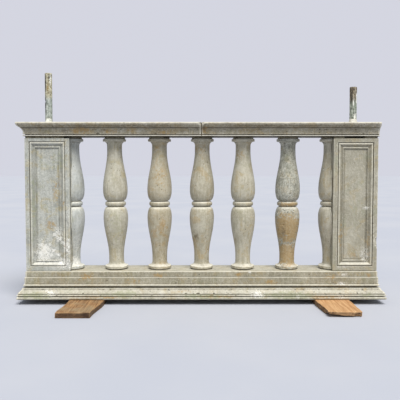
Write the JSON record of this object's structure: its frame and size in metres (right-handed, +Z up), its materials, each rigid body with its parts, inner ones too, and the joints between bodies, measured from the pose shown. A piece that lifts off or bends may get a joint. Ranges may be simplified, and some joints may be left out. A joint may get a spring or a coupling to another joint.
{
  "type": "stone balustrade bay",
  "caption": "Free-standing bay of classical stone balustrade: panelled piers, turned balusters, moulded base and coping, iron bars set in its top.",
  "frame": {"origin": "on the floor, under the middle of the bay, half way between its front and back", "axes": "+X along the balustrade towards its plain cut end, +Y from the front to the back, +Z up"},
  "size_m": [1.909, 0.74, 1.204],
  "materials": {
    "pale_stone": "weathered pale limestone with ochre and green stains",
    "grey_stone": "weathered grey limestone with lichen",
    "base_stone": "weathered limestone with greenish and ochre streaks",
    "coping_stone": "dark weathered limestone",
    "mortar": "pale lime mortar",
    "dark_mortar": "recessed dirty mortar",
    "rusty_iron": "pitted and rusty",
    "grey_iron": "dull grey with limewash streaks",
    "old_board": "weathered brown softwood",
    "fresh_board": "pale softwood"
  },
  "bodies": {
    "root": {"left_board": "old_board", "right_board": "fresh_board", "plinth_course": "base_stone", "course_bed": "dark_mortar", "base_course": "base_stone", "left_foot_bed": "mortar", "right_foot_bed": "mortar", "left_pier": "grey_stone", "right_pier": "pale_stone", "left_pier_bed": "mortar", "right_pier_bed": "mortar", "baluster_1": "pale_stone", "baluster_2": "pale_stone", "baluster_3": "pale_stone", "baluster_4": "pale_stone", "baluster_5": "pale_stone", "left_half_baluster": "grey_stone", "right_half_baluster": "grey_stone", "baluster_foot_beds": "mortar", "baluster_cap_beds": "mortar", "left_coping": "coping_stone", "right_coping": "coping_stone", "coping_joint": "mortar", "left_bar": "rusty_iron", "right_bar": "grey_iron", "left_bar_mortar": "mortar", "right_bar_mortar": "mortar"}
  },
  "joints": []
}
